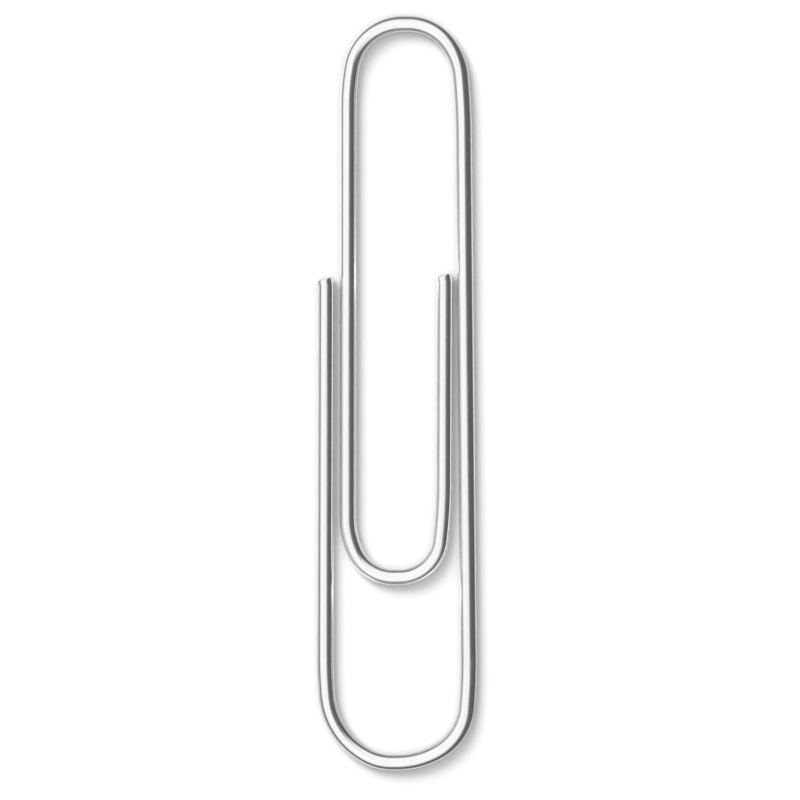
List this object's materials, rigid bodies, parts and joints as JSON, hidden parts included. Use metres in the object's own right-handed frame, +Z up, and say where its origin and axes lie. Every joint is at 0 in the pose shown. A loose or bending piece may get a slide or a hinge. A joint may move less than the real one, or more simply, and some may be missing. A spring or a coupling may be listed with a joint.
{
  "type": "paper clip",
  "caption": "Flat inward spiral of round plated wire whose sprung tongue lifts off the outer loop to pinch a stack of paper.",
  "frame": {"origin": "centre of the clip's outline, on the surface that it lies on", "axes": "+Y along the clip to its single top bend, +X across it to the long leg, +Z up from the surface"},
  "size_m": [0.0106, 0.05, 0.0011],
  "materials": {
    "plated_wire": "bright plated drawn steel wire"
  },
  "bodies": {
    "back_frame": {"outer_loop_right_half": "plated_wire", "long_leg": "plated_wire", "top_loop_right_half": "plated_wire"},
    "tongue": {"top_loop_left_half": "plated_wire", "tongue_leg": "plated_wire", "tongue_loop_left_half": "plated_wire"},
    "outer_arm": {"free_outer_leg": "plated_wire", "outer_loop_left_half": "plated_wire"},
    "inner_arm": {"tongue_loop_right_half": "plated_wire", "free_inner_leg": "plated_wire"}
  },
  "joints": [
    {"name": "tongue_lift", "type": "hinge", "parent": "back_frame", "child": "tongue", "pos_m": [0.00059, 0.02445, 0.00055], "axis": [-1, 0, 0], "range_deg": [0, 10], "stiffness_Nm_per_rad": 0.46},
    {"name": "outer_arm_lift", "type": "hinge", "parent": "back_frame", "child": "outer_arm", "pos_m": [-0.00015, -0.02445, 0.00055], "axis": [1, 0, 0], "range_deg": [0, 10], "stiffness_Nm_per_rad": 0.45},
    {"name": "inner_arm_lift", "type": "hinge", "parent": "tongue", "child": "inner_arm", "pos_m": [-0.00001, -0.01219, 0.00055], "axis": [1, 0, 0], "range_deg": [0, 7], "stiffness_Nm_per_rad": 0.7}
  ]
}
